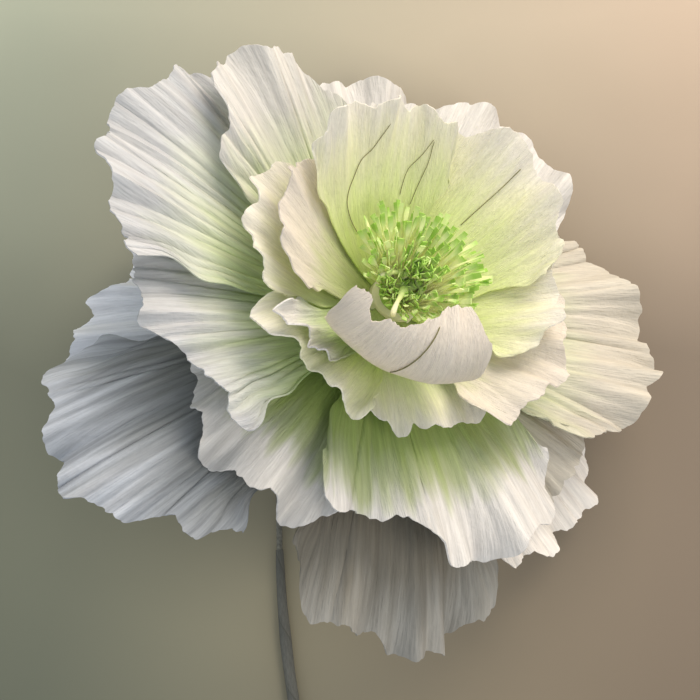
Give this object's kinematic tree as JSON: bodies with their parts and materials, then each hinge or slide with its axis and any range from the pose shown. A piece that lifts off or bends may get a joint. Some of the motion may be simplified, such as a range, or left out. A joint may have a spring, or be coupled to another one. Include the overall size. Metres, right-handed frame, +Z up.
{
  "type": "crepe paper peony",
  "caption": "Handmade open peony of pleated crepe paper petals round a fringe of green paper stamens, lying on a short wrapped wire stem.",
  "frame": {"origin": "on the table, under the middle of the box of the whole flower as it lies", "axes": "+Z up from the table, -Y along the stem towards its cut end; the flower head leans towards +X and +Y"},
  "size_m": [0.149, 0.1892, 0.0989],
  "materials": {
    "white_crepe": "matte",
    "green_fringe": "matte",
    "pale_green": "matte",
    "stem_tape": "matte",
    "wire": "matte"
  },
  "bodies": {
    "root": {"cup_petal_1": "white_crepe", "cup_petal_2": "white_crepe", "cup_petal_3": "white_crepe", "cup_petal_4": "white_crepe", "cup_petal_5": "white_crepe", "inner_petal_1": "white_crepe", "inner_petal_2": "white_crepe", "inner_petal_3": "white_crepe", "inner_petal_4": "white_crepe", "middle_petal_1": "white_crepe", "middle_petal_2": "white_crepe", "middle_petal_3": "white_crepe", "middle_petal_4": "white_crepe", "middle_petal_5": "white_crepe", "middle_petal_6": "white_crepe", "middle_petal_7": "white_crepe", "middle_petal_8": "white_crepe", "middle_petal_9": "white_crepe", "outer_petal_1": "white_crepe", "outer_petal_2": "white_crepe", "outer_petal_3": "white_crepe", "outer_petal_4": "white_crepe", "outer_petal_5": "white_crepe", "outer_petal_6": "white_crepe", "outer_petal_7": "white_crepe", "core": "pale_green", "stem_binding": "stem_tape", "stamen_fringe_inner": "green_fringe", "stamen_fringe_outer": "green_fringe", "carpel_1": "pale_green", "carpel_2": "pale_green", "carpel_3": "pale_green", "stem_wire": "wire", "stem_wrap": "stem_tape"}
  },
  "joints": []
}
